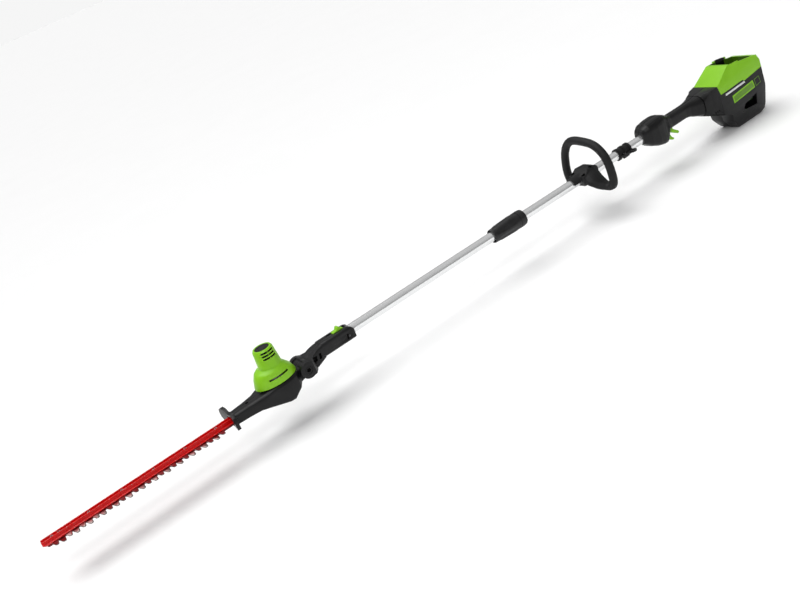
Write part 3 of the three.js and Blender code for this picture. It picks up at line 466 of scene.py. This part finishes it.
def bake_modifiers(piece):
    """Replaces a piece's mesh by what its modifiers make of it."""
    bpy.context.view_layer.update()
    graph = bpy.context.evaluated_depsgraph_get()
    mesh = bpy.data.meshes.new_from_object(piece.evaluated_get(graph), depsgraph=graph)
    piece.modifiers.clear()
    old = piece.data
    piece.data = mesh
    bpy.data.meshes.remove(old)


def shade(mesh, degrees=32.0):
    mesh.polygons.foreach_set("use_smooth", [True] * len(mesh.polygons))
    mesh.set_sharp_from_angle(angle=math.radians(degrees))


def copy_of(node):
    """A copy of a CAD node's mesh with its corners joined up."""
    bm = bmesh.new()
    bm.from_mesh(frame["nodes"][node].data)
    bmesh.ops.remove_doubles(bm, verts=bm.verts, dist=0.01 * MM)
    mesh = bpy.data.meshes.new(node)
    bm.to_mesh(mesh)
    bm.free()
    return mesh


def merge_flats(mesh):
    """Joins the triangles of each flat face again."""
    bm = bmesh.new()
    bm.from_mesh(mesh)
    bmesh.ops.dissolve_limit(bm, angle_limit=math.radians(0.6), verts=bm.verts, edges=bm.edges)
    bm.to_mesh(mesh)
    bm.free()


def carve(piece, tools):
    """Cuts the tools out of a piece and throws them away."""
    for item in tools:
        cut = piece.modifiers.new("cut", "BOOLEAN")
        cut.object = item
        cut.solver = "EXACT"
        # the walls of each cut take the tool's material, which is painted shade
        cut.material_mode = "TRANSFER"
    bake_modifiers(piece)
    for item in tools:
        mesh = item.data
        bpy.data.objects.remove(item)
        bpy.data.meshes.remove(mesh)


def rounded(node, width, segments=2, angle=30.0, finish=None, cutters=()):
    """A CAD node with its sharp edges rounded, as a mould or a die leaves them."""
    piece = place(node + "_skin", copy_of(node), node, finish, (node,))
    merge_flats(piece.data)
    bevel = piece.modifiers.new("round", "BEVEL")
    bevel.width = width * MM
    bevel.segments = segments
    bevel.limit_method = "ANGLE"
    bevel.angle_limit = math.radians(angle)
    bevel.use_clamp_overlap = True
    bake_modifiers(piece)
    if cutters:
        carve(piece, cutters)
    shade(piece.data, 40.0)
    return piece


def softened(node, voxel, rounds, finish=None, cutters=()):
    """A CAD node re-skinned with small even faces and smoothed, for soft or organic shapes."""
    piece = place(node + "_skin", copy_of(node), node, finish, (node,))
    remesh = piece.modifiers.new("remesh", "REMESH")
    remesh.mode = "VOXEL"
    remesh.voxel_size = voxel * MM
    smooth = piece.modifiers.new("smooth", "SMOOTH")
    smooth.iterations = rounds
    smooth.factor = 0.5
    bake_modifiers(piece)
    if cutters:
        carve(piece, cutters)
    shade(piece.data, 50.0)
    return piece


LOBES = 6                                   # round a screw's socket, and round the pole's sleeve


def mesh_from(bm, name):
    bmesh.ops.recalc_face_normals(bm, faces=bm.faces)
    mesh = bpy.data.meshes.new(name)
    bm.to_mesh(mesh)
    bm.free()
    shade(mesh)
    return mesh


def lathe(name, profile, centre, axis, segments):
    """Turned piece, closed or ending on its axis, round or with lobes.

    Its profile is a list of (radius, along) or (radius, along, depth of the lobes) in millimetres.
    """
    closed = profile[0] == profile[-1]
    points = profile[:-1] if closed else profile
    turn = {"X": Matrix.Rotation(math.pi / 2, 4, "Y"), "Y": Matrix.Rotation(-math.pi / 2, 4, "X"),
            "Z": Matrix.Identity(4)}[axis]
    place_at = Matrix.Translation(centre) @ turn
    bm = bmesh.new()
    rings = []
    for radius, along, *lobe in points:
        if radius == 0:
            rings.append([bm.verts.new(place_at @ Vector((0, 0, along * MM)))])
            continue
        ring = []
        for i in range(segments):
            angle = 2 * math.pi * i / segments
            reach = (radius + (lobe[0] * math.cos(LOBES * angle) if lobe else 0)) * MM
            spot = Vector((reach * math.cos(angle), reach * math.sin(angle), along * MM))
            ring.append(bm.verts.new(place_at @ spot))
        rings.append(ring)
    pairs = list(zip(rings, rings[1:] + ([rings[0]] if closed else [])))
    for low, high in pairs:
        for i in range(segments):
            j = (i + 1) % segments
            corners = [low[i % len(low)], low[j % len(low)], high[j % len(high)], high[i % len(high)]]
            bm.faces.new(list(dict.fromkeys(corners)))
    return mesh_from(bm, name)


def tool(mesh):
    """A mesh made into an object that only cuts, and leaves walls painted near-black as shade where it has
    cut.
    """
    mesh.materials.append(PAINTED_SHADE)
    item = bpy.data.objects.new("tool", mesh)
    bpy.context.scene.collection.objects.link(item)
    return item


def block(low, high, tilt=0.0):
    """Cutting box between two corners in CAD millimetres, tilted about Y by some degrees."""
    least, most = (at(*(pick(pair) for pair in zip(low, high))) for pick in (min, max))
    bm = bmesh.new()
    bmesh.ops.create_cube(bm, size=1.0)
    bm.transform(Matrix.Translation((least + most) / 2) @ Matrix.Rotation(math.radians(tilt), 4, "Y")
                 @ Matrix.Diagonal((*(most - least), 1.0)))
    return tool(mesh_from(bm, "tool"))


def drill(spot, axis, radius, low, high):
    """Cutting rod along an axis through a point in CAD millimetres."""
    profile = [(0, low), (radius, low), (radius, high), (0, high)]
    return tool(lathe("tool", profile, at(*spot), axis, 32))


def star(spot, axis, radius, low, high):
    """Cutting rod with the six lobes of a screwdriver socket."""
    lobe = 0.14 * radius
    profile = [(0, low), (radius, low, lobe), (radius, high, lobe), (0, high)]
    return tool(lathe("tool", profile, at(*spot), axis, 48))


# ---------------------------------------------------------------- camera, light and floor
KEY_SPOT = (-1.6, -2.6, 3.6)
KEY_TARGET = (0.0, 0.0, 0.1)
KEY_SIZE = (2.0, 1.2)
KEY_POWER = 42.0                            # W
SUN_TURN = (-16.0, -12.0, 0.0)              # degrees from straight down
SUN_SPREAD = 50.0                           # degrees
SUN_STRENGTH = 1.95
ROOM_HEIGHT = (0.0, 0.8)                    # upward part of a ray's direction ...
ROOM_STRENGTH = (0.2, 0.5)                  # ... and the room's brightness that goes with it
BACKDROP = 0.92                             # how bright the room looks past the floor's edge
FLOOR_HALF = 60.0
FLOOR_HEIGHT = -0.0005
CAMERA_LENS, CAMERA_SENSOR = 45.0, 36.0     # mm
CAMERA_REACH = 50.0
CAMERA_FROM_JOINT = Vector((-1.36296, -2.26064, 1.02232))   # from the pole's axis at its joint
CAMERA_RIGHT = Vector((0.7790, -0.5051, -0.3716))
CAMERA_UP = Vector((0.5098, 0.1651, 0.8443))


def camera():
    data = bpy.data.cameras.new("camera")
    data.lens = CAMERA_LENS
    data.sensor_width = CAMERA_SENSOR
    data.clip_end = CAMERA_REACH
    item = bpy.data.objects.new("camera", data)
    right = CAMERA_RIGHT.normalized()
    back = right.cross(CAMERA_UP).normalized()
    up = back.cross(right)
    turn = Matrix((right, up, back)).transposed().to_4x4()
    item.matrix_world = Matrix.Translation(Vector((POLE_JOINT, 0, AXIS_Z)) + CAMERA_FROM_JOINT) @ turn
    bpy.context.scene.collection.objects.link(item)
    bpy.context.scene.camera = item


def area_light(name, spot, target, size, power):
    data = bpy.data.lights.new(name, "AREA")
    data.shape = "RECTANGLE"
    data.size, data.size_y = size
    data.energy = power
    item = bpy.data.objects.new(name, data)
    item.location = spot
    item.rotation_euler = (Vector(target) - Vector(spot)).to_track_quat("-Z", "Y").to_euler()
    bpy.context.scene.collection.objects.link(item)


def sun_light(turn, spread, strength):
    data = bpy.data.lights.new("sun", "SUN")
    data.angle = math.radians(spread)
    data.energy = strength
    item = bpy.data.objects.new("sun", data)
    item.rotation_euler = [math.radians(angle) for angle in turn]
    bpy.context.scene.collection.objects.link(item)


def studio():
    """Soft key from the upper left, an even wide light from above, and a room that is darker low down."""
    area_light("key", KEY_SPOT, KEY_TARGET, KEY_SIZE, KEY_POWER)
    sun_light(SUN_TURN, SUN_SPREAD, SUN_STRENGTH)
    world = bpy.data.worlds.new("studio")
    world.use_nodes = True
    tree = world.node_tree
    coords = tree.nodes.new("ShaderNodeTexCoord")
    split = tree.nodes.new("ShaderNodeSeparateXYZ")
    height = tree.nodes.new("ShaderNodeMapRange")
    for side, (low, high) in (("From", ROOM_HEIGHT), ("To", ROOM_STRENGTH)):
        height.inputs[side + " Min"].default_value = low
        height.inputs[side + " Max"].default_value = high
    seen = tree.nodes.new("ShaderNodeLightPath")
    strength = tree.nodes.new("ShaderNodeMix")
    strength.inputs["B"].default_value = BACKDROP
    background = tree.nodes["Background"]
    background.inputs["Color"].default_value = rgb(1.0, 1.0, 1.0)
    tree.links.new(coords.outputs["Generated"], split.inputs[0])
    tree.links.new(split.outputs["Z"], height.inputs["Value"])
    tree.links.new(height.outputs["Result"], strength.inputs["A"])
    tree.links.new(seen.outputs["Is Camera Ray"], strength.inputs["Factor"])
    tree.links.new(strength.outputs["Result"], background.inputs["Strength"])
    bpy.context.scene.world = world
    bpy.context.scene.view_settings.view_transform = "Standard"


def floor():
    bm = bmesh.new()
    signs = ((-1, -1), (1, -1), (1, 1), (-1, 1))
    bm.faces.new([bm.verts.new((x * FLOOR_HALF, y * FLOOR_HALF, FLOOR_HEIGHT)) for x, y in signs])
    mesh = bpy.data.meshes.new("floor")
    bm.to_mesh(mesh)
    bm.free()
    item = bpy.data.objects.new("floor", mesh)
    bpy.context.scene.collection.objects.link(item)
    n = Nodes("pale_floor")
    n.set(Base_Color=n.blend(n.noise(3.0), rgb(0.94, 0.94, 0.94), rgb(0.97, 0.97, 0.97)))
    n.set(Roughness=0.8)
    mesh.materials.append(n.material)


# ---------------------------------------------------------------- the parts
def mirrored(low, high):
    """The same cutting box on both sides of the tool."""
    return [block((low[0], side * low[1], low[2]), (high[0], side * high[1], high[2]))
            for side in (-1, 1)]


def cutting_bar():
    rounded("blade_rail", 0.6)
    for blade in ("blade_upper", "blade_lower"):
        rounded(blade, 0.95, segments=1, angle=40.0)
    for number, x in enumerate(RAIL_SCREWS, 1):
        rounded(f"rail_screw_{number}", 0.35, cutters=[star((x, 0, 0), *RAIL_SOCKET)])
    rounded("blade_guard", 1.4, segments=3, cutters=mirrored(*GUARD_RECESS))


def motor():
    """Cover with its vent slots and flange slot, and the plain stepped cap on top."""
    slots = []
    for z in VENT_HEIGHTS:
        for x in VENT_STARTS:
            start = MOTOR[0] + x
            slots += mirrored((start, VENT_INNER, z - VENT_HALF),
                              (start + VENT_LENGTH, VENT_OUTER, z + VENT_HALF))
    slots += mirrored(*FLANGE_SLOT)
    rounded("motor_cover", 0.9, segments=3, cutters=slots)
    cap = [(0, 88.3), (20, 88.3), (20, 89.6), (19.4, CAP_TOP), (17.4, CAP_TOP), (17, 89.7),
           (16.4, 89.7), (16, CAP_TOP), (12.4, CAP_TOP), (11.8, 89.6), (11, 89.6), (10.4, CAP_TOP),
           (0, 90.4)]
    mesh = lathe("motor_cap", cap, at(*MOTOR), "Z", 96)
    place("motor_cap_face", mesh, "motor_cap", replaced=("motor_cap",))


def head():
    """Two shells: screw wells in the far one, and a well that both share on top."""
    wells = [drill((x, 0, z), "Y", WELL_RADIUS, HEAD_WELL_BOTTOM, HEAD_WELL_TOP) for x, z in HEAD_WELLS]
    for name, cutters in (("head_shell_left", []), ("head_shell_right", wells)):
        rounded(name, 1.2, segments=3, cutters=[*cutters, drill(*HEAD_TOP_WELL)])


def neck():
    for name, side in (("neck_left", -1), ("neck_right", 1)):
        pockets = [block((low[0], side * deep, low[1]), (high[0], side * out, high[1]), POCKET_TILT)
                   for low, high, out, deep in NECK_POCKETS]
        rounded(name, 0.9, segments=3, cutters=pockets)
    rounded("release_slider", 0.7, segments=3)
    rounded("hinge_bolt", 0.8, finish=FINISH["black_plastic"],
            cutters=[star(*HINGE_SOCKET)])
    rounded("neck_screw", 0.3, finish=DARK_STEEL, cutters=[star(*NECK_SOCKET)])
    rounded("hinge_nut", 0.5, finish=DARK_STEEL)


def coupler():
    """Tightening sleeve: a dark mouth in front, six shallow flutes, and two rings near its wide end."""
    flute = -1.2
    outside = [(18.4, 334), (19.9, 334.2), (20.4, 335.2), (20.6, 339), (20.9, 347, 0),
               (21.6, 356, flute), (22.3, 372, flute), (23.0, 392, flute), (23.6, 410, flute),
               (23.9, 418, 0), (24.3, 425), (23.0, 425.8), (23.0, 428.6), (24.4, 429.4), (24.5, 440),
               (23.2, 440.8), (23.2, 443), (23.8, 443.8), (23.4, 447), (22.4, 449.6), (20.2, 451),
               (14.5, 451)]
    inside = [(14.5, 345), (17.8, 344.6), (18.4, 334)]
    profile = [(radius, x - SLEEVE_START, *lobe) for radius, x, *lobe in outside + inside]
    mesh = lathe("coupler_sleeve", profile, at(SLEEVE_START, 0, 0), "X", 120)
    place("coupler_sleeve_skin", mesh, "coupler_sleeve", RIBBED, ("coupler_sleeve",))


def pole():
    """Two tubes with slightly rounded ends."""
    bore, tube, edge = 12.4, 14, 0.4
    for end in ("lower_pole", "upper_pole"):
        low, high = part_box(end)
        length = (high.x - low.x) / MM
        profile = [(bore, edge), (bore + edge, 0), (tube - edge, 0), (tube, edge), (tube, length - edge),
                   (tube - edge, length), (bore + edge, length), (bore, length - edge), (bore, edge)]
        mesh = lathe(end, profile, (low.x, 0, AXIS_Z), "X", 96)
        place(end + "_tube", mesh, end, replaced=(end,))
    coupler()


def front_handle():
    """Loop with its clamp and three sunk bolts, and the strap clip behind it."""
    radius, below, above = LOOP_WELL
    wells = [drill((x, y, 0), "Z", radius, seat - below, seat + above) for x, y, seat in LOOP_BOLTS]
    softened("loop_handle", 1.2, 6, cutters=wells)
    rounded("loop_clamp", 1.0)
    radius, below, above = LOOP_SOCKET
    for number, (x, y, seat) in enumerate(LOOP_BOLTS, 1):
        socket = star((x, y, 0), "Z", radius, seat - below, seat + above)
        # painted shade: the bolts at the bottom of their wells are near-black
        rounded(f"loop_bolt_{number}", 0.4, finish=PAINTED_SHADE, cutters=[socket])
    rounded("strap_clip", 0.9, segments=3)
    rounded("strap_screw", 0.4, finish=DARK_STEEL, cutters=[star(*STRAP_SOCKET)])


def tree_of(skin):
    return BVHTree.FromPolygons([v.co for v in skin.data.vertices], [p.vertices for p in skin.data.polygons])


def outermost(trees, x, z, side):
    """The outermost point of some skins at an (x, z), seen square on from one side."""
    hits = [tree.ray_cast(at(x, side * FAR, z), Vector((0, -side, 0)))[0] for tree in trees]
    return max((hit for hit in hits if hit), key=lambda hit: side * hit.y)


def outline_ring(name, corners, side, edge, width, finish, node, skins):
    """A raised frame just inside some (x, z) corners, laid on whichever skin is outermost there."""
    middle = Vector((sum(x for x, _ in corners) / 4, sum(z for _, z in corners) / 4))
    trees = [tree_of(skin) for skin in skins]
    rings = []
    outer, inner = edge, edge + width
    for inset, out in ((outer, FRAME_SUNK), (outer, FRAME_SHOULDER), (outer + FRAME_ROUND, FRAME_TOP),
                       (inner - FRAME_ROUND, FRAME_TOP), (inner, FRAME_SHOULDER), (inner, FRAME_SUNK)):
        ends = [Vector((x - math.copysign(inset, x - middle.x), z - math.copysign(inset, z - middle.y)))
                for x, z in corners]
        ring = []
        for start, end in zip(ends, ends[1:] + ends[:1]):
            for step in range(FRAME_STEPS):
                x, z = start.lerp(end, step / FRAME_STEPS)
                ring.append(outermost(trees, x, z, side) + Vector((0, side * out * MM, 0)))
        rings.append(ring)
    bm = bmesh.new()
    verts = [[bm.verts.new(spot) for spot in ring] for ring in rings]
    for low, high in zip(verts, verts[1:] + verts[:1]):
        for i in range(len(low)):
            j = (i + 1) % len(low)
            bm.faces.new((low[i], low[j], high[j], high[i]))
    place(name, mesh_from(bm, name), node, finish)


def badges(skins):
    """A framed plate and a smaller outline behind it, without any lettering, and a stripe on each flank."""
    for side, name in ((-1, "left"), (1, "right")):
        plate = rounded("side_badge_" + name, 0.3, finish=DARK_BADGE)
        outline_ring("badge_frame_" + name, BADGE, side, 1.4, 3.6, None, "side_badge_" + name,
                     (plate, skins[name]))
        outline_ring("small_frame_" + name, SMALL_PLATE, side, 0.6, 1.6, DARK_BADGE, "side_badge_" + name,
                     (skins[name],))
        rounded("side_stripe_" + name, 0.3)


def case_screws(skin):
    """Screws that hold the two halves of the housing together, sunk in the far side."""
    tree = tree_of(skin)
    heights = [(x, outermost([tree], x, z, 1).y / MM, z) for x, z in CASE_SCREWS]
    carve(skin, [drill((x, 0, z), "Y", WELL_RADIUS, y - CASE_WELL_DEPTH, FAR) for x, y, z in heights])
    radius, bottom, top = CASE_SOCKET
    for number, (x, y, z) in enumerate(heights, 1):
        profile = [(reach, y - depth) for reach, depth in CASE_HEAD]
        mesh = lathe("case_screw", profile, at(x, 0, z), "Y", 32)
        piece = place(f"case_screw_{number}", mesh, "housing_right", DARK_STEEL)
        carve(piece, [star((x, 0, z), "Y", radius, y - bottom, y - top)])


def notches(side):
    """Row of small notches along the lower edge of one flank."""
    tools = []
    for x in NOTCHES:
        back = x - NOTCH_ORIGIN
        drop = NOTCH_SLOPE * back
        tools.append(block((x, side * (NOTCH_BOTTOM + NOTCH_SPREAD * back), NOTCH_LOW + drop),
                           (x + NOTCH_LENGTH, side * NOTCH_OUTER, NOTCH_HIGH + drop)))
    return tools


def rear():
    skins = {}
    for side, name in ((-1, "left"), (1, "right")):
        softened("grip_" + name, 1.0, 7, CASING)
        skins[name] = rounded("housing_" + name, 1.3, segments=3, finish=CASING, cutters=notches(side))
    badges(skins)
    case_screws(skins["right"])
    rounded("bay_cover", 1.6, segments=4, finish=BAY_GREEN)
    lines = [block((*LATCH_FRONT, z), (*LATCH_BACK, z + LATCH_LINE_HEIGHT)) for z in LATCH_LINES]
    rounded("battery_latch", 0.7, segments=2, cutters=lines)
    softened("trigger", 0.6, 5)
    softened("lock_lever", 0.6, 5)


def plain_nodes():
    """CAD nodes whose own shape is right: they only take their finish."""
    for name, item in frame["nodes"].items():
        item.data.materials.clear()
        item.data.materials.append(FINISH[SLOT_OF[name]])
    for name in ("motor_rotor", "rotor_bearing", "pole_set_screw", "lock_bar"):
        frame["nodes"][name].data.materials[0] = DARK_STEEL


camera()
studio()
floor()
plain_nodes()
cutting_bar()
motor()
head()
neck()
pole()
front_handle()
rear()
